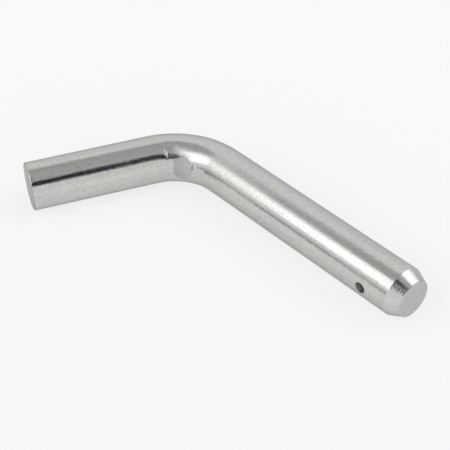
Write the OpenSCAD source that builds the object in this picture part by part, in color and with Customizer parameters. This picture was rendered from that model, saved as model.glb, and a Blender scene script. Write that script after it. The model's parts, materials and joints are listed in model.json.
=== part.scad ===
// Bent hitch pin: one round steel bar with a handle leg, a cold bend, a straight shank,
// a cross-drilled clip hole and a turned lead chamfer.
//
// Frame: the origin is on the shank's axis where the straight shank leaves the bend.
// +X runs along the shank to the tip, +Z is square to the plane of the bend,
// and the handle leg turns away towards -X and -Y.

/* [Bar] */
// Diameter of the round bar, which is also the shank that fills the hitch hole
bar_d = 15.875; // [12.7:0.025:19.05]

/* [Shank] */
// Straight shank from the end of the bend to the tip face
shank_len = 82.1; // [60:0.1:120]

/* [Bend] */
// Angle that the bar is turned through, 0 being a straight bar
bend_angle = 66.5; // [45:0.5:90]
// Radius of the bend at the bar's axis
bend_r = 22; // [18:0.5:32]

/* [Handle] */
// Straight handle leg from the bend to the cut end
handle_len = 41.3; // [25:0.1:70]
// Edge break round the cut end of the handle
handle_edge = 0.5; // [0.2:0.1:1.5]

/* [Lead chamfer] */
// Length of the turned cone at the tip
lead_len = 4.35; // [2:0.05:7]
// Diameter of the cone where it meets the broken edge of the tip face
tip_d = 12.2; // [8:0.1:12.4]
// Edge break between the cone and the tip face
tip_edge = 0.15; // [0.1:0.05:0.4]

/* [Clip hole] */
// Diameter of the cross hole for the spring clip
clip_d = 3.57; // [3:0.01:5]
// Distance from the tip face to the middle of the hole
clip_from_tip = 13.9; // [10:0.1:20]
// Countersink at each mouth of the hole, at 45 degrees
clip_sink = 0.2; // [0.1:0.05:0.8]

/* [Press mark] */
// How far the bending tool is pressed into the inside of the bend
press_depth = 0.25; // [0.1:0.05:0.6]
// Angle round the bar from the inside of the bend to the middle of the mark
press_tilt = 10.5; // [0:0.5:30]
// Angle along the bend from its middle to the middle of the mark, towards the handle
press_turn = 2; // [-5:0.5:5]
// Nose radius of the grooved bending tool
tool_nose_r = 8; // [6:0.5:10]
// How far the groove's radius in the tool is over the bar's radius
groove_gap = 1.9; // [1.5:0.1:8]

/* [Hidden] */
$fn = 96;

bar_r = bar_d / 2;
tip_r = tip_d / 2;
clip_r = clip_d / 2;
clip_x = shank_len - clip_from_tip;
groove_r = bar_r + groove_gap;
// The tool is a little wider than the mark that it leaves
tool_width = 12;
// Cutting tools run this far past the surface that they cut
past = 1;
// The leg is a hair under the bar's radius, so that its root lies inside the bend
leg_r = bar_r - 0.02;
leg_root = 0.5;

// Straight leg of the handle along +X from the origin, with its cut edge broken.
// Its inner end reaches a little way back into the bend.
module handle_leg() {
    rotate([0, 90, 0]) {
        translate([0, 0, -leg_root])
            cylinder(r = leg_r, h = leg_root + handle_len - handle_edge);
        translate([0, 0, handle_len - handle_edge])
            cylinder(r1 = leg_r, r2 = leg_r - handle_edge, h = handle_edge);
    }
}

// Bend: a true torus segment that starts at the origin and turns towards -Y
module bend() {
    translate([0, -bend_r, 0])
        rotate([0, 0, 90])
            rotate_extrude(angle = bend_angle)
                translate([bend_r, 0])
                    circle(r = bar_r);
}

// Places its children in the bend's frame, turned by angle from the shank's end of the bend
module along_bend(angle) {
    translate([0, -bend_r, 0])
        rotate([0, 0, angle])
            translate([0, bend_r, 0])
                children();
}

// Straight shank with the cone and the broken edge at its tip, in one turned profile
module shank() {
    rotate([0, 90, 0])
        rotate_extrude()
            polygon([
                [0, 0],
                [bar_r, 0],
                [bar_r, shank_len - lead_len],
                [tip_r, shank_len - tip_edge],
                [tip_r - tip_edge, shank_len],
                [0, shank_len]
            ]);
}

// Clip hole across the shank in the plane of the bend, with a countersink at each mouth
module clip_hole() {
    translate([clip_x, 0, 0])
        rotate([90, 0, 0]) {
            cylinder(r = clip_r, h = bar_d + 2 * past, center = true);
            for (side = [-1, 1])
                scale([1, 1, side])
                    translate([0, 0, bar_r - clip_sink])
                        cylinder(r1 = clip_r, r2 = clip_r + clip_sink + past, h = clip_sink + past);
        }
}

// Grooved roller of the bending tool, pressed into the inside of the bend near its middle
module press_mark() {
    along_bend(bend_angle / 2 + press_turn)
        rotate([-press_tilt, 0, 0])
            translate([0, press_depth - bar_r - tool_nose_r, 0])
                rotate_extrude()
                    difference() {
                        translate([0, -tool_width / 2])
                            square([tool_nose_r + tool_width / 4, tool_width]);
                        translate([tool_nose_r + groove_r, 0])
                            circle(r = groove_r);
                    }
}

module bent_pin() {
    color([0.74, 0.74, 0.73])
        difference() {
            union() {
                shank();
                bend();
                along_bend(bend_angle)
                    rotate([0, 0, 180])
                        handle_leg();
            }
            clip_hole();
            press_mark();
        }
}

bent_pin();
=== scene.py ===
import json
import math

import bpy
import numpy as np
from mathutils import Matrix, Vector


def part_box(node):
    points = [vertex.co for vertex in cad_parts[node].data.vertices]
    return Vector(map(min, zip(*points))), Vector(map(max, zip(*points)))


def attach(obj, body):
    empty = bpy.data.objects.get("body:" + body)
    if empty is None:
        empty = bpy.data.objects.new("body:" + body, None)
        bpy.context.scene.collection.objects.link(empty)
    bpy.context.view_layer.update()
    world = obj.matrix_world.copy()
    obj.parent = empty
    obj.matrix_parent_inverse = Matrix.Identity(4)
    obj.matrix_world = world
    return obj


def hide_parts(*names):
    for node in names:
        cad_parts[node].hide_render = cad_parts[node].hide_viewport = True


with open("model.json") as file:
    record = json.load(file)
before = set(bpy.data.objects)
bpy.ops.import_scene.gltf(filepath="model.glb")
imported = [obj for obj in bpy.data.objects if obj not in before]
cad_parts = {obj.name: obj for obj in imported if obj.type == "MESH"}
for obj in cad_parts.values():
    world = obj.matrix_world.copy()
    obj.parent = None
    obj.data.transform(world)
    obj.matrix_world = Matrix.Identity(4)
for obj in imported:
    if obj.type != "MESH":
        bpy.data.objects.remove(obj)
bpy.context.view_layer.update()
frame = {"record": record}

# Bent hitch pin: one bright zinc-plated steel bar, built as a fine mesh along a straight line
# and then bent, with its plating in a procedural material. Everything is in metres.
#
# "Straight space" is the bar before it is bent: x runs along the bar, 0 where the shank leaves
# the bend, plus towards the tip. -y is the side that ends up inside the bend, +z is up.
# The angle phi goes round the bar from -y (0) through +z (90 degrees).

MM = 0.001

# ---------------------------------------------------------------------------------------------
# Sizes that the CAD gives
# ---------------------------------------------------------------------------------------------
MOUNTS = {mount["name"]: mount for mount in frame["record"]["mounts"]}
BAR_R = MOUNTS["shank"]["dims"]["r_mm"] * MM
CONE_X = MOUNTS["shank"]["dims"]["length_mm"] * MM
CLIP_X = MOUNTS["clip_hole"]["pos_m"][0]
CLIP_R = MOUNTS["clip_hole"]["dims"]["r_mm"] * MM
PIN_LOW, PIN_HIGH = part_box("bent_pin")
TIP_X = PIN_HIGH[0]
FLOOR_Z = PIN_LOW[2]

# The same driving sizes as in the CAD
BEND_R = 22 * MM
BEND_ANGLE = math.radians(66.5)
HANDLE_LEN = 41.3 * MM
HANDLE_EDGE = 0.5 * MM
TIP_R = 6.1 * MM
TIP_EDGE = 0.15 * MM
CLIP_SINK = 0.2 * MM

BEND_X = -BEND_R * BEND_ANGLE
HANDLE_X = BEND_X - HANDLE_LEN

# ---------------------------------------------------------------------------------------------
# Mesh detail
# ---------------------------------------------------------------------------------------------
ROUND_STEPS = 192
SEED = 7
SHARP_ANGLE = math.radians(32)

# Largest distance between rings on each stretch of the bar
CUT_FACE_STEP = 0.3 * MM
HANDLE_STEP = 0.65 * MM
BEND_STEP = 0.24 * MM
SHANK_STEP = 0.7 * MM
HOLE_STEP = 0.2 * MM
SHOULDER_STEP = 0.5 * MM
CONE_STEP = 0.06 * MM
TIP_FACE_STEP = 0.2 * MM
# Radius of the innermost ring of each end face
CUT_FACE_CORE = 0.25 * MM
TIP_FACE_CORE = 0.12 * MM
# Rings round each broken edge
HANDLE_EDGE_RINGS = 8
TIP_EDGE_RINGS = 5
# The fine rings round the clip hole reach this many of its radii to each side
HOLE_REACH = 1.6
# Slack in the tests for which part of the bar a ring belongs to
SLACK = 1e-9


def spread(start, stop, step):
    """Evenly spaced values from start up to but not including stop, at most step apart."""
    count = max(1, math.ceil(abs(stop - start) / step))
    return [start + (stop - start) * i / count for i in range(count)]


def quarter(steps):
    """Angles of a quarter circle without its last end."""
    return [math.pi / 2 * i / steps for i in range(steps)]


def bar_stations():
    """Every ring of the bar as (x, radius), from the cut end of the handle to the tip face."""
    rings = []
    face_r = BAR_R - HANDLE_EDGE
    for radius in spread(CUT_FACE_CORE, face_r, CUT_FACE_STEP):
        rings.append((HANDLE_X, radius))
    for angle in quarter(HANDLE_EDGE_RINGS):
        x = HANDLE_X + HANDLE_EDGE * (1 - math.cos(angle))
        rings.append((x, face_r + HANDLE_EDGE * math.sin(angle)))
    for x in spread(HANDLE_X + HANDLE_EDGE, BEND_X, HANDLE_STEP):
        rings.append((x, BAR_R))
    for x in spread(BEND_X, 0.0, BEND_STEP):
        rings.append((x, BAR_R))
    hole_from = CLIP_X - HOLE_REACH * CLIP_R
    hole_to = CLIP_X + HOLE_REACH * CLIP_R
    for x in spread(0.0, hole_from, SHANK_STEP):
        rings.append((x, BAR_R))
    for x in spread(hole_from, hole_to, HOLE_STEP):
        rings.append((x, BAR_R))
    for x in spread(hole_to, CONE_X, SHOULDER_STEP):
        rings.append((x, BAR_R))
    cone_end = TIP_X - TIP_EDGE
    for x in spread(CONE_X, cone_end, CONE_STEP):
        share = (x - CONE_X) / (cone_end - CONE_X)
        rings.append((x, BAR_R + (TIP_R - BAR_R) * share))
    face_r = TIP_R - TIP_EDGE
    for angle in quarter(TIP_EDGE_RINGS):
        x = cone_end + TIP_EDGE * math.sin(angle)
        rings.append((x, face_r + TIP_EDGE * math.cos(angle)))
    for radius in spread(face_r, TIP_FACE_CORE, TIP_FACE_STEP):
        rings.append((TIP_X, radius))
    rings.append((TIP_X, TIP_FACE_CORE))
    return np.array(rings)


class Ripples:
    """Smooth seeded noise over the bar's surface: a sum of waves that close up round the bar."""

    def __init__(self, seed, count, length, turns):
        """length is the range of wavelengths along x, turns the range of waves round the bar."""
        random = np.random.default_rng(seed)
        self.along = 2 * math.pi / random.uniform(*length, count) * random.choice([-1, 1], count)
        self.round = random.integers(turns[0], turns[1] + 1, count)
        self.start = random.uniform(0, 2 * math.pi, count)

    def __call__(self, x, phi):
        total = np.zeros(np.broadcast(x, phi).shape)
        for along, around, start in zip(self.along, self.round, self.start):
            total += np.sin(along * x + around * phi + start)
        return total / math.sqrt(len(self.along) / 2)


def bump_at(x, phi, at, size, depth):
    """A soft dent: at and size are (along, round in degrees)."""
    turn = np.angle(np.exp(1j * (phi - math.radians(at[1]))))
    far = ((x - at[0]) / size[0]) ** 2 + (turn / math.radians(size[1])) ** 2
    return depth * np.exp(-far)


def smooth_step(low, high, value):
    share = np.clip((value - low) / (high - low), 0, 1)
    return share * share * (3 - 2 * share)


# Surface of the bar: how far it strays from a true cylinder
PEEL = Ripples(SEED, 28, (1.6 * MM, 4.5 * MM), (5, 22))
PEEL_HEIGHT = 0.0016 * MM
DRAW_LINES = Ripples(SEED + 1, 30, (60 * MM, 260 * MM), (14, 60))
DRAW_HEIGHT = 0.0012 * MM
DIE_WAVES = Ripples(SEED + 2, 12, (7 * MM, 18 * MM), (1, 5))
DIE_HEIGHT = 0.018 * MM
# Share of the die waves that shows on the straight legs, and how much more shows near the bend
DIE_ON_LEGS = 0.05
DIE_NEAR_BEND = 0.35

# Turned cone: coarse feed marks of the lathe tool, deeper towards the tip, with fine ones between
FEED = 0.8 * MM
FEED_DEPTH = 0.013 * MM
# Share of that depth where the cone starts, and how steeply it grows from there to the tip
FEED_START = 0.06
FEED_GROWTH = 2.2
FINE_FEED = 0.16 * MM
FINE_DEPTH = 0.0012 * MM

# Tip face: facing rings, a shallow dish and the pip left where the tool stopped
FACE_RING = 0.62 * MM
FACE_RING_DEPTH = 0.002 * MM
FACE_DISH = 0.02 * MM
PIP_R = 0.45 * MM
PIP_HEIGHT = 0.05 * MM

# Cut end of the handle: a slight slope, a worn burnished part and a torn part below it
CUT_SLOPE = 0.12 * MM
CUT_TEAR = 0.05 * MM


def scar(x, phi, along, around, depth, darken=0.0):
    """A mark of the bending press: place along the bar in mm, angle round it in degrees, half its length in
    mm, half its width in degrees, depth in mm, and how much darker it paints the plating. For the tick and
    the lower line that darkening is painted shade."""
    return {"x": x * MM, "phi": phi, "along": along * MM, "round": around, "depth": depth * MM, "darken": darken}


# Marks beside the roller's own mark. The ridge stands up, so its depth is below zero.
SCARS = {
    "nick": scar(-21.1, 48, along=0.45, around=14, depth=0.14),
    # The tick's and the lower line's darkening is painted shade: dark reflection lines beside the press mark
    "tick": scar(-8.3, 19, along=0.85, around=8, depth=0.012, darken=0.75),
    "smudge": scar(-5.6, 24, along=0.8, around=4, depth=0.005, darken=0.22),
    "lower_line": scar(-14, -19, along=6, around=1.6, depth=0.015, darken=0.2),
    "shoulder": scar(-18.5, 58, along=3.2, around=11, depth=0.24),
    "ridge": scar(-18.3, 35, along=2.2, around=12, depth=-0.13),
}

# Small dents from handling, scattered over the whole bar
DINGS = 26
DING_SIZE = (0.5 * MM, 1.6 * MM)
DING_DEPTH = (0.004 * MM, 0.016 * MM)


def dings(x, phi):
    random = np.random.default_rng(SEED + 3)
    total = np.zeros(x.shape)
    for _ in range(DINGS):
        at = (random.uniform(HANDLE_X, CONE_X), random.uniform(0, 360))
        size = random.uniform(*DING_SIZE)
        total += bump_at(x, phi, at, (size, math.degrees(size / BAR_R)), random.uniform(*DING_DEPTH))
    return total


def wear_on_bar(x, phi):
    """Radial change of the drawn bar's surface."""
    past_handle = smooth_step(BEND_X - 6 * MM, BEND_X + 2 * MM, x)
    near_bend = past_handle * (1 - smooth_step(-4 * MM, 8 * MM, x))
    change = PEEL_HEIGHT * PEEL(x, phi)
    change += DRAW_HEIGHT * DRAW_LINES(x, phi)
    change += DIE_HEIGHT * DIE_WAVES(x, phi) * (DIE_ON_LEGS + DIE_NEAR_BEND * near_bend)
    change -= dings(x, phi)
    for mark in SCARS.values():
        change -= bump_at(x, phi, (mark["x"], mark["phi"]), (mark["along"], mark["round"]), mark["depth"])
    return change


def cone_marks(x, phi):
    """Radial change of the turned cone: rounded feed marks."""
    into = np.clip((x - CONE_X) / (TIP_X - CONE_X), 0, 1)
    turn = phi / (2 * math.pi)
    coarse = np.abs(np.sin(math.pi * ((x - CONE_X) / FEED - turn)))
    fine = np.sin(2 * math.pi * ((x - CONE_X) / FINE_FEED - turn))
    fade = smooth_step(0.0, 0.12, into) * (1 - smooth_step(0.96, 1.0, into))
    depth = FEED_DEPTH * (FEED_START + (1 - FEED_START) * into ** FEED_GROWTH)
    return fade * (depth * (coarse - 1.0) + FINE_DEPTH * fine)


def tip_face_shift(radius, phi):
    """Shift of the tip face along x."""
    edge = (TIP_R - radius) / TIP_R
    rings = FACE_RING_DEPTH * np.sin(2 * math.pi * radius / FACE_RING)
    dish = -FACE_DISH * smooth_step(0.05, 1.0, edge)
    pip = PIP_HEIGHT * np.exp(-((radius / PIP_R) ** 4))
    return rings * smooth_step(0.0, 0.1, edge) + dish + pip


def cut_face_shift(y, z):
    """Shift of the handle's cut face along x."""
    height = z / BAR_R
    torn = smooth_step(0.25, -0.1, height)
    tear = np.sin(2300 * y + 5 * np.sin(900 * z)) + 0.6 * np.sin(5200 * y + 1700 * z)
    return CUT_SLOPE * height * 0.5 + CUT_TEAR * torn * (0.5 + 0.3 * tear) * 0.5


def straight_bar():
    """Vertices and faces of the bar in straight space, before the clip hole is drilled."""
    rings = bar_stations()
    phi = np.arange(ROUND_STEPS) * 2 * math.pi / ROUND_STEPS
    x = np.repeat(rings[:, 0:1], ROUND_STEPS, axis=1)
    radius = np.repeat(rings[:, 1:2], ROUND_STEPS, axis=1)
    around = np.repeat(phi[None, :], len(rings), axis=0)

    on_bar = radius > BAR_R - SLACK
    on_cone = (x > CONE_X + SLACK) & (radius >= TIP_R - SLACK)
    on_tip = (x > TIP_X - SLACK) & (radius < TIP_R - TIP_EDGE + SLACK)
    on_cut = x < HANDLE_X + SLACK
    radius = np.where(on_bar, radius + wear_on_bar(x, around), radius)
    radius = np.where(on_cone, radius + cone_marks(x, around), radius)
    y = -radius * np.cos(around)
    z = radius * np.sin(around)
    x = np.where(on_tip, x + tip_face_shift(radius, around), x)
    x = np.where(on_cut, x + cut_face_shift(y, z), x)

    points = np.stack([x, y, z], axis=2).reshape(-1, 3)
    cut_middle = [HANDLE_X + cut_face_shift(0.0, 0.0), 0, 0]
    tip_middle = [TIP_X + tip_face_shift(0.0, 0.0), 0, 0]
    points = np.vstack([points, cut_middle, tip_middle])

    faces = []
    for ring in range(len(rings) - 1):
        first = ring * ROUND_STEPS
        for step in range(ROUND_STEPS):
            after = (step + 1) % ROUND_STEPS
            faces.append((first + step, first + ROUND_STEPS + step,
                          first + ROUND_STEPS + after, first + after))
    last = (len(rings) - 1) * ROUND_STEPS
    middle = len(rings) * ROUND_STEPS
    for step in range(ROUND_STEPS):
        after = (step + 1) % ROUND_STEPS
        faces.append((step, after, middle))
        faces.append((last + after, last + step, middle + 1))
    return points, faces


def new_mesh(name, points, faces):
    mesh = bpy.data.meshes.new(name)
    mesh.from_pydata(points.tolist() if hasattr(points, "tolist") else points, [], faces)
    mesh.validate()
    return mesh


def turned_object(name, profile, steps):
    """A closed solid turned about the y axis from (y, radius) points, first and last on the axis."""
    points = [(0, profile[0][0], 0)]
    for y, radius in profile[1:-1]:
        for step in range(steps):
            angle = 2 * math.pi * step / steps
            points.append((radius * math.sin(angle), y, radius * math.cos(angle)))
    points.append((0, profile[-1][0], 0))
    faces = []
    rings = len(profile) - 2
    for step in range(steps):
        after = (step + 1) % steps
        faces.append((1 + step, 0, 1 + after))
        for ring in range(rings - 1):
            here = 1 + ring * steps
            faces.append((here + step, here + after, here + steps + after, here + steps + step))
        here = 1 + (rings - 1) * steps
        faces.append((len(points) - 1, here + step, here + after))
    mesh = new_mesh(name, points, faces)
    return bpy.data.objects.new(name, mesh)


def drill_clip_hole(pin):
    """Cuts the clip hole, with a softly broken mouth on each side."""
    past = 1.5 * MM
    mouth = []
    for i in range(7):
        share = i / 6
        mouth.append((CLIP_SINK * (1 - share), CLIP_SINK * share ** 1.4))
    half = [(BAR_R + past, CLIP_R + CLIP_SINK + past)]
    for below, wider in reversed(mouth):
        half.append((BAR_R - below, CLIP_R + wider))
    profile = [(-BAR_R - past - MM, 0.0)]
    profile += [(-y, radius) for y, radius in half]
    profile += [(y, radius) for y, radius in reversed(half)]
    profile.append((BAR_R + past + MM, 0.0))
    drill = turned_object("drill", profile, 96)
    drill.location = (CLIP_X, 0, 0)
    bpy.context.scene.collection.objects.link(drill)
    cut = pin.modifiers.new("clip_hole", "BOOLEAN")
    cut.operation = "DIFFERENCE"
    cut.solver = "EXACT"
    cut.object = drill
    bpy.context.view_layer.update()
    drilled = bpy.data.meshes.new_from_object(pin.evaluated_get(bpy.context.evaluated_depsgraph_get()))
    pin.modifiers.clear()
    pin.data = drilled
    bpy.data.objects.remove(drill)


# ---------------------------------------------------------------------------------------------
# Bending
# ---------------------------------------------------------------------------------------------
# Bending draws the outside of the bar a little narrower
NARROWER = 0.01
# Shares of the bend over which that comes in and goes out, and the heights in bar radii over
# which it comes in from the inside to the outside
NARROW_IN = (-0.12, 0.25)
NARROW_OUT = (1.12, 0.75)
NARROW_FROM = -0.7
NARROW_TO = 0.8


def bend(points):
    """Moves points from straight space to where the bend puts them."""
    x, y, z = points.T
    angle = np.clip(-x / BEND_R, 0, BEND_ANGLE)
    past = np.minimum(x - BEND_X, 0) + np.maximum(x, 0)
    share = angle / BEND_ANGLE
    in_bend = smooth_step(*NARROW_IN, share) * smooth_step(*NARROW_OUT, share)
    z = z * (1 - NARROWER * in_bend * smooth_step(NARROW_FROM * BAR_R, NARROW_TO * BAR_R, y))
    out = np.stack([-np.sin(angle), np.cos(angle)])
    along = np.stack([np.cos(angle), np.sin(angle)])
    place = out * (BEND_R + y) + along * past
    return np.stack([place[0], place[1] - BEND_R, z], axis=1)


# Press mark of the bending tool on the inside of the bend
PRESS_DEPTH = 0.25 * MM
PRESS_TILT = math.radians(10.5)
PRESS_TURN = math.radians(2)
TOOL_NOSE_R = 8 * MM
TOOL_GROOVE_R = BAR_R + 1.9 * MM
PRESS_LIP = 0.02 * MM
# The roller acts on the bar up to this far outside its own surface
TOOL_REACH = 1.5 * MM


def press_mark(points):
    """Pushes the inside of the bend out of the grooved roller that pressed it.

    Returns the points and how deep the roller reached at each, below zero outside its mark.
    """
    turned = BEND_ANGLE / 2 + PRESS_TURN
    centre = np.array([-BEND_R * math.sin(turned), BEND_R * (math.cos(turned) - 1), 0])
    out = np.array([-math.sin(turned), math.cos(turned), 0])
    along = np.array([math.cos(turned), math.sin(turned), 0])
    up = np.array([0.0, 0.0, 1.0])
    tool_out = out * math.cos(PRESS_TILT) - up * math.sin(PRESS_TILT)
    tool_up = out * math.sin(PRESS_TILT) + up * math.cos(PRESS_TILT)
    tool = centre + tool_out * (PRESS_DEPTH - BAR_R - TOOL_NOSE_R)
    rel = points - tool
    a, b, c = rel @ along, rel @ tool_out, rel @ tool_up
    far = np.hypot(a, b)
    groove = np.sqrt(np.maximum(TOOL_GROOVE_R ** 2 - c ** 2, 0))
    depth = TOOL_NOSE_R + TOOL_GROOVE_R - groove - far
    push = (depth + np.sqrt(depth ** 2 + PRESS_LIP ** 2)) / 2
    inside = (np.abs(c) < BAR_R) & (b > 0) & (depth > -TOOL_REACH)
    push = np.where(inside, push, 0)
    moved = points + ((a / far)[:, None] * along + (b / far)[:, None] * tool_out) * push[:, None]
    return moved, np.where(inside, depth, -TOOL_REACH)


def bent_pin():
    points, faces = straight_bar()
    pin = bpy.data.objects.new("bent_pin_plated", new_mesh("bent_pin_plated", points, faces))
    bpy.context.scene.collection.objects.link(pin)
    drill_clip_hole(pin)
    mesh = pin.data
    mesh.name = "bent_pin_plated"
    straight = np.empty(len(mesh.vertices) * 3)
    mesh.vertices.foreach_get("co", straight)
    straight = straight.reshape(-1, 3)
    place = mesh.attributes.new("bar_place", "FLOAT_VECTOR", "POINT")
    place.data.foreach_set("vector", straight.ravel())
    points, depth = press_mark(bend(straight))
    mesh.vertices.foreach_set("co", points.ravel())
    pressed = mesh.attributes.new("press_depth", "FLOAT", "POINT")
    pressed.data.foreach_set("value", depth)
    mesh.shade_smooth()
    mesh.set_sharp_from_angle(angle=SHARP_ANGLE)
    mesh.update()
    return pin


# ---------------------------------------------------------------------------------------------
# Node building
# ---------------------------------------------------------------------------------------------
class Nodes:
    """Short ways to add shader nodes to one tree. Arguments are numbers, colours or sockets."""

    def __init__(self, tree):
        self.tree = tree
        tree.nodes.clear()

    def add(self, kind, inputs=None, **settings):
        node = self.tree.nodes.new(kind)
        for name, value in settings.items():
            setattr(node, name, value)
        for name, value in (inputs or {}).items():
            self.set(node.inputs[name], value)
        return node

    def set(self, socket, value):
        if isinstance(value, bpy.types.NodeSocket):
            self.tree.links.new(value, socket)
        else:
            socket.default_value = value

    def math(self, operation, *values):
        node = self.add("ShaderNodeMath", operation=operation)
        for socket, value in zip(node.inputs, values):
            self.set(socket, value)
        return node.outputs[0]

    def ramp(self, value, low, high, start=0.0, end=1.0):
        """Smooth step of value from start at low to end at high."""
        node = self.add("ShaderNodeMapRange", interpolation_type="SMOOTHSTEP")
        for name, number in (("Value", value), ("From Min", low), ("From Max", high),
                             ("To Min", start), ("To Max", end)):
            self.set(node.inputs[name], number)
        return node.outputs[0]

    def mix(self, share, first, second):
        """Mix of two colours."""
        node = self.add("ShaderNodeMix", data_type="RGBA")
        for index, value in ((0, share), (6, first), (7, second)):
            self.set(node.inputs[index], value)
        return node.outputs[2]

    def noise(self, place, scale, detail=2.0, roughness=0.5, stretch=None):
        """Noise from 0 to 1; stretch scales the place along each axis first."""
        if stretch:
            place = self.add("ShaderNodeMapping", {"Vector": place, "Scale": stretch}).outputs[0]
        node = self.add("ShaderNodeTexNoise", {
            "Vector": place, "Scale": scale, "Detail": detail, "Roughness": roughness})
        return node.outputs["Fac"]

    def window(self, value, low, high, soft):
        """1 between low and high with soft ends, 0 outside."""
        rise = self.ramp(value, low - soft, low + soft)
        fall = self.ramp(value, high - soft, high + soft, 1.0, 0.0)
        return self.math("MULTIPLY", rise, fall)


# ---------------------------------------------------------------------------------------------
# Zinc plating
# ---------------------------------------------------------------------------------------------
ZINC_COOL = (0.592, 0.594, 0.589, 1)
ZINC_WARM = (0.616, 0.608, 0.586, 1)
# Dark zinc colour that the marks mix towards: dull plating for the mottle and streaks, painted shade for the
# press rim and the tip and cut lines
ZINC_DULL_AND_SHADE = (0.23, 0.228, 0.222, 1)
CONE_WARM = (0.622, 0.606, 0.594, 1)
FACE_COOL = (0.580, 0.584, 0.596, 1)
EDGE_TINT = (0.57, 0.57, 0.57, 1)
PLATING_ROUGHNESS = 0.14

# How much darker each mark is painted than clean plating: 0 is none, 1 is the dark zinc colour
MOTTLE_DULL = 0.22
STREAK_DULL = 0.16
# The drilled wall's darkening is partly thin plating in the bore and partly painted shade inside the hole
DRILLED_DULL_AND_SHADE = 0.1
# Darkening of the press mark and of its rim, at the handle's side and at the shank's side of the mark. The
# mark's is partly scuffed plating and partly painted shade for its darker reflection; the rim's is a painted
# shade line.
PRESS_FROM = -18 * MM
PRESS_TO = -9 * MM
PRESS_DULL_AND_SHADE = (0.46, 0.13)
RIM_SHADE = (0.16, 0.42)
RUB_DULL = (-0.05, 0.09)
# Share of the rim's painted shade line that is left on the low side of the bar
RIM_LOW = 0.3
# Painted shade lines round the tip face and round the cut face, from their weak to their strong part
TIP_SHADE_LINE = (0.1, 0.6)
CUT_SHADE_LINE = (0.38, 0.6)
# A scar's darkening fades out between these squared distances, in its own half sizes
SCAR_FADE = (0.3, 1.3)
# Share of the cone's own tint, and share of the mottling that is left on it
CONE_SHARE = 0.8
MOTTLE_ON_CONE = 0.5

# Roughness that each mark adds
GRAIN_ROUGH = 0.06
SMUDGE_ROUGH = 0.06
PRESS_ROUGH = 0.08
DRILLED_ROUGH = 0.25

# Height of the bump's draw lines and of its fine peel
LINE_BUMP = 0.018 * MM
PEEL_BUMP = 0.030 * MM


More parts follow.
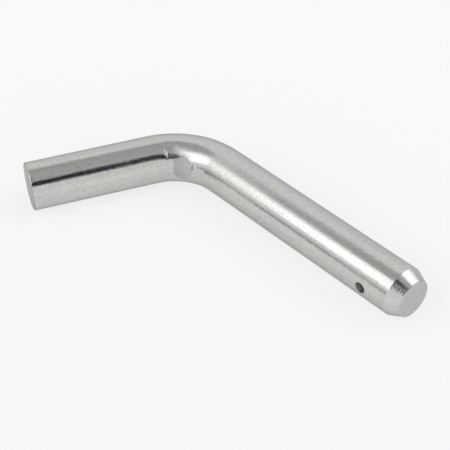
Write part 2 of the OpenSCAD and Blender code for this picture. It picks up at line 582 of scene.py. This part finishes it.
def zinc_plating():
    material = bpy.data.materials.new("zinc_plated_steel")
    material.use_nodes = True
    n = Nodes(material.node_tree)
    place = n.add("ShaderNodeAttribute", attribute_name="bar_place").outputs["Vector"]
    axes = n.add("ShaderNodeSeparateXYZ", {"Vector": place})
    x, y, z = axes.outputs

    # Where on the pin: the drilled wall of the clip hole, the press mark and the scars
    off_hole = n.math("SUBTRACT", x, CLIP_X)
    from_hole = n.math("SQRT", n.math("ADD", n.math("POWER", off_hole, 2.0), n.math("POWER", z, 2.0)))
    off_axis = n.math("SQRT", n.math("ADD", n.math("POWER", y, 2.0), n.math("POWER", z, 2.0)))
    in_bar = n.math("LESS_THAN", off_axis, BAR_R - 1.2 * CLIP_SINK)
    near_axis = n.math("LESS_THAN", from_hole, CLIP_R + 0.1 * MM)
    drilled = n.math("MULTIPLY", in_bar, near_axis)
    depth = n.add("ShaderNodeAttribute", attribute_name="press_depth").outputs["Fac"]
    pressed = n.ramp(depth, -0.01 * MM, 0.04 * MM)
    press_rim = n.window(depth, -0.02 * MM, 0.035 * MM, 0.015 * MM)
    turn = n.math("ARCTAN2", z, n.math("MULTIPLY", y, -1.0))
    # Scars painted darker: for the tick and the lower line this is painted shade, dark reflection lines
    # beside the press mark
    scar_dull_and_shade = 0.0
    for mark in SCARS.values():
        if mark["darken"] > 0:
            off_x = n.math("DIVIDE", n.math("SUBTRACT", x, mark["x"]), mark["along"])
            off_turn = n.math("DIVIDE", n.math("SUBTRACT", turn, math.radians(mark["phi"])),
                              math.radians(mark["round"]))
            far = n.math("ADD", n.math("POWER", n.math("ABSOLUTE", off_x), 2.0),
                         n.math("POWER", n.math("ABSOLUTE", off_turn), 2.0))
            scar_dull_and_shade = n.math("ADD", scar_dull_and_shade, n.ramp(far, *SCAR_FADE, mark["darken"], 0.0))

    # Colour: cool and warm clouds, fine mottling, faint lengthwise streaks
    clouds = n.noise(place, 120.0, 3.0, 0.55)
    colour = n.mix(n.ramp(clouds, 0.35, 0.65), ZINC_COOL, ZINC_WARM)
    turned = n.ramp(x, CONE_X - 0.1 * MM, CONE_X + 0.1 * MM)
    faced = n.ramp(x, TIP_X - 0.12 * MM, TIP_X - 0.06 * MM)
    colour = n.mix(n.math("MULTIPLY", turned, CONE_SHARE), colour, n.mix(faced, CONE_WARM, FACE_COOL))
    mottle = n.noise(place, 1100.0, 4.0, 0.65)
    mottled = n.math("MULTIPLY", n.ramp(mottle, 0.3, 0.75, 0.0, MOTTLE_DULL),
                     n.ramp(turned, 0.0, 1.0, 1.0, MOTTLE_ON_CONE))
    colour = n.mix(mottled, colour, ZINC_DULL_AND_SHADE)
    streaks = n.noise(place, 1.0, 3.0, 0.6, stretch=(25.0, 900.0, 900.0))
    colour = n.mix(n.ramp(streaks, 0.4, 0.8, 0.0, STREAK_DULL), colour, ZINC_DULL_AND_SHADE)
    rubbed = n.noise(place, 1.0, 3.0, 0.6, stretch=(1800.0, 200.0, 200.0))
    # The press mark painted darker, more at the handle's side: partly scuffed plating, partly painted shade
    # standing in for its darker reflection
    press_dull_and_shade = n.ramp(x, PRESS_FROM, PRESS_TO, *PRESS_DULL_AND_SHADE)
    press_dull_and_shade = n.math("ADD", press_dull_and_shade, n.ramp(rubbed, 0.3, 0.7, *RUB_DULL))
    press_dull_and_shade = n.math("MULTIPLY", pressed, press_dull_and_shade)
    colour = n.mix(press_dull_and_shade, colour, ZINC_DULL_AND_SHADE)
    # Painted shade line round the press mark's rim, stronger at the shank's side and weaker on the low side
    # of the bar
    rim_shade = n.math("MULTIPLY", press_rim, n.ramp(x, PRESS_FROM, PRESS_TO, *RIM_SHADE))
    rim_shade = n.math("MULTIPLY", rim_shade, n.ramp(z, -0.15 * BAR_R, 0.15 * BAR_R, RIM_LOW, 1.0))
    colour = n.mix(rim_shade, colour, ZINC_DULL_AND_SHADE)
    colour = n.mix(scar_dull_and_shade, colour, ZINC_DULL_AND_SHADE)
    # Painted shade line round the tip edge, on its upper part only
    tip_shade_line = n.window(x, TIP_X - 0.22 * MM, TIP_X - 0.06 * MM, 0.05 * MM)
    tip_shade_line = n.math("MULTIPLY", tip_shade_line, n.ramp(z, 0.3 * BAR_R, 0.75 * BAR_R, *TIP_SHADE_LINE))
    colour = n.mix(tip_shade_line, colour, ZINC_DULL_AND_SHADE)
    # Painted shade ring at the outer part of the handle's cut face
    cut_shade_line = n.math("MULTIPLY", n.ramp(x, HANDLE_X + 0.1 * MM, HANDLE_X + 0.35 * MM, 1.0, 0.0),
                      n.ramp(off_axis, BAR_R - 0.9 * MM, BAR_R - 0.5 * MM, *CUT_SHADE_LINE))
    colour = n.mix(cut_shade_line, colour, ZINC_DULL_AND_SHADE)
    # Drilled wall painted darker: partly thin plating in the bore, partly painted shade inside the hole
    colour = n.mix(n.math("MULTIPLY", drilled, DRILLED_DULL_AND_SHADE), colour, ZINC_DULL_AND_SHADE)

    # Roughness: fine grain, smudges, and the duller press mark and drilled wall
    grain = n.noise(place, 2600.0, 2.0, 0.6)
    smudge = n.noise(place, 140.0, 4.0, 0.6)
    rough = n.math("ADD", PLATING_ROUGHNESS - 0.05, n.math("MULTIPLY", grain, GRAIN_ROUGH))
    rough = n.math("ADD", rough, n.ramp(smudge, 0.45, 0.75, 0.0, SMUDGE_ROUGH))
    rough = n.math("ADD", rough, n.math("MULTIPLY", pressed, PRESS_ROUGH))
    rough = n.math("ADD", rough, n.math("MULTIPLY", drilled, DRILLED_ROUGH))

    # Bump: lengthwise draw lines and the plating's fine peel
    lines = n.noise(place, 1.0, 4.0, 0.65, stretch=(60.0, 2600.0, 2600.0))
    peel = n.noise(place, 1300.0, 3.0, 0.55)
    height = n.math("ADD", n.math("MULTIPLY", lines, LINE_BUMP), n.math("MULTIPLY", peel, PEEL_BUMP))
    bump = n.add("ShaderNodeBump", {"Strength": 1.0, "Distance": 1.0, "Height": height})

    shader = n.add("ShaderNodeBsdfPrincipled", {
        "Base Color": colour, "Metallic": 1.0, "Roughness": rough,
        "Specular Tint": EDGE_TINT, "Normal": bump.outputs[0]})
    n.add("ShaderNodeOutputMaterial", {"Surface": shader.outputs[0]})
    return material


# ---------------------------------------------------------------------------------------------
# Studio: floor, light and camera
# ---------------------------------------------------------------------------------------------
FLOOR_SIZE = 6.0
FLOOR_COLOUR = (0.26, 0.26, 0.26, 1)
FLOOR_GLOW = 0.74


def floor():
    half = FLOOR_SIZE / 2
    corners = [(-half, -half, FLOOR_Z), (half, -half, FLOOR_Z),
               (half, half, FLOOR_Z), (-half, half, FLOOR_Z)]
    plane = bpy.data.objects.new("floor", new_mesh("floor", corners, [(0, 1, 2, 3)]))
    bpy.context.scene.collection.objects.link(plane)
    material = bpy.data.materials.new("floor")
    material.use_nodes = True
    n = Nodes(material.node_tree)
    matte = n.add("ShaderNodeBsdfDiffuse", {"Color": FLOOR_COLOUR, "Roughness": 1.0})
    glow = n.add("ShaderNodeEmission", {"Color": (1, 1, 1, 1), "Strength": FLOOR_GLOW})
    both = n.add("ShaderNodeAddShader")
    n.set(both.inputs[0], matte.outputs[0])
    n.set(both.inputs[1], glow.outputs[0])
    n.add("ShaderNodeOutputMaterial", {"Surface": both.outputs[0]})
    plane.data.materials.append(material)


# The light tent: grey walls, a darker ceiling, and panels in front of them, the later ones in front
TENT_LIGHT = 1.09
TENT_WALL = 0.87
TENT_CEILING = 0.51
CEILING_FROM = 61.0
CEILING_SOFT = 2.0
DARK_TINT = 0.012
BACKDROP = 0.87


def panel(compass, height, wide, tall, soft, bright, lean=0):
    """A panel of the tent. compass and height place its middle, soft is its soft edge across and up,
    and lean lifts its right-hand side. Compass angles run from +Y (0) through +X (90), in degrees."""
    return {"compass": compass, "height": height, "wide": wide, "tall": tall,
            "soft": soft, "lean": lean, "bright": bright}


PANELS = {
    "rear_ceiling": panel(-55, 71, wide=90, tall=19, soft=(10, 2), bright=0.465),
    "flap": panel(-87, 60.5, wide=72, tall=11, soft=(2, 2), bright=0.5, lean=0.08),
    "key_glow": panel(-172, 66, wide=50, tall=24, soft=(9, 6), bright=0.82),
    "key": panel(-157, 38.2, wide=58, tall=28, soft=(12, 5), bright=1.85),
    "key_corner": panel(-130, 28, wide=18, tall=14, soft=(8, 7), bright=1.0),
    "key_top": panel(-165, 54, wide=42, tall=15, soft=(9, 5), bright=1.75, lean=-0.3),
    "back": panel(26, 46, wide=48, tall=40, soft=(13, 7), bright=1.75),
    "back_low": panel(25, 5, wide=70, tall=13, soft=(8, 4), bright=0.55),
    "camera_gap": panel(117, 43.9, wide=62, tall=24.3, soft=(8, 4), bright=0.025, lean=-0.12),
    "gap_fade": panel(140, 41, wide=26, tall=16, soft=(6, 6), bright=0.12),
    "camera_top": panel(128, 64.3, wide=36, tall=12, soft=(6, 4), bright=0.0, lean=-0.36),
    "far_wall": panel(-146, 3.7, wide=36, tall=5, soft=(6, 5), bright=0.08),
}


def light_tent():
    world = bpy.data.worlds.new("light_tent")
    bpy.context.scene.world = world
    world.use_nodes = True
    n = Nodes(world.node_tree)
    way = n.add("ShaderNodeTexCoord").outputs["Generated"]
    x, y, z = n.add("ShaderNodeSeparateXYZ", {"Vector": way}).outputs
    height = n.math("DEGREES", n.math("ARCSINE", z))
    compass = n.math("DEGREES", n.math("ARCTAN2", x, y))
    bright = n.ramp(height, CEILING_FROM - CEILING_SOFT, CEILING_FROM + CEILING_SOFT,
                    TENT_WALL, TENT_CEILING)
    for part in PANELS.values():
        across = n.math("WRAP", n.math("SUBTRACT", compass, part["compass"]), 180.0, -180.0)
        up = n.math("SUBTRACT", height, part["height"])
        up = n.math("SUBTRACT", up, n.math("MULTIPLY", across, part["lean"]))
        half_wide = part["wide"] / 2
        half_tall = part["tall"] / 2
        mask = n.math("MULTIPLY", n.window(across, -half_wide, half_wide, part["soft"][0]),
                      n.window(up, -half_tall, half_tall, part["soft"][1]))
        step = n.math("MULTIPLY", n.math("SUBTRACT", part["bright"], bright), mask)
        bright = n.math("ADD", bright, step)
    camera_ray = n.add("ShaderNodeLightPath").outputs["Is Camera Ray"]
    blue = n.math("ADD", bright, n.math("MULTIPLY", n.math("SUBTRACT", 1.0, bright), DARK_TINT))
    tent = n.add("ShaderNodeCombineColor", {"Red": bright, "Green": bright, "Blue": blue}).outputs[0]
    seen = n.mix(camera_ray, tent, (BACKDROP, BACKDROP, BACKDROP, 1))
    background = n.add("ShaderNodeBackground", {"Color": seen, "Strength": TENT_LIGHT})
    n.add("ShaderNodeOutputWorld", {"Surface": background.outputs[0]})


# The camera: azimuth 0 looks along +Y, 90 along -X
VIEW_AZIMUTH = math.radians(48.89)
VIEW_ELEVATION = math.radians(41.02)
VIEW_ROLL = math.radians(1.43)
VIEW_TARGET = Vector((0.0206, -0.0177, 0.0))
VIEW_DISTANCE = 0.3873
LENS = 100.23
SENSOR = 36.0


def camera():
    data = bpy.data.cameras.new("camera")
    data.lens = LENS
    data.sensor_width = SENSOR
    data.clip_start = 0.01
    data.clip_end = 50.0
    eye = bpy.data.objects.new("camera", data)
    level = math.cos(VIEW_ELEVATION)
    forward = Vector((-math.sin(VIEW_AZIMUTH) * level, math.cos(VIEW_AZIMUTH) * level,
                      -math.sin(VIEW_ELEVATION)))
    flat_right = forward.cross(Vector((0, 0, 1))).normalized()
    flat_up = flat_right.cross(forward)
    right = flat_right * math.cos(VIEW_ROLL) - flat_up * math.sin(VIEW_ROLL)
    up = flat_up * math.cos(VIEW_ROLL) + flat_right * math.sin(VIEW_ROLL)
    turn = Matrix((right, up, -forward)).transposed().to_4x4()
    eye.matrix_world = Matrix.Translation(VIEW_TARGET - forward * VIEW_DISTANCE) @ turn
    bpy.context.scene.collection.objects.link(eye)
    bpy.context.scene.camera = eye


camera()
light_tent()
floor()
bpy.context.scene.view_settings.view_transform = "Standard"

pin = bent_pin()
pin.data.materials.clear()
pin.data.materials.append(zinc_plating())
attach(pin, "root")
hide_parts("bent_pin")
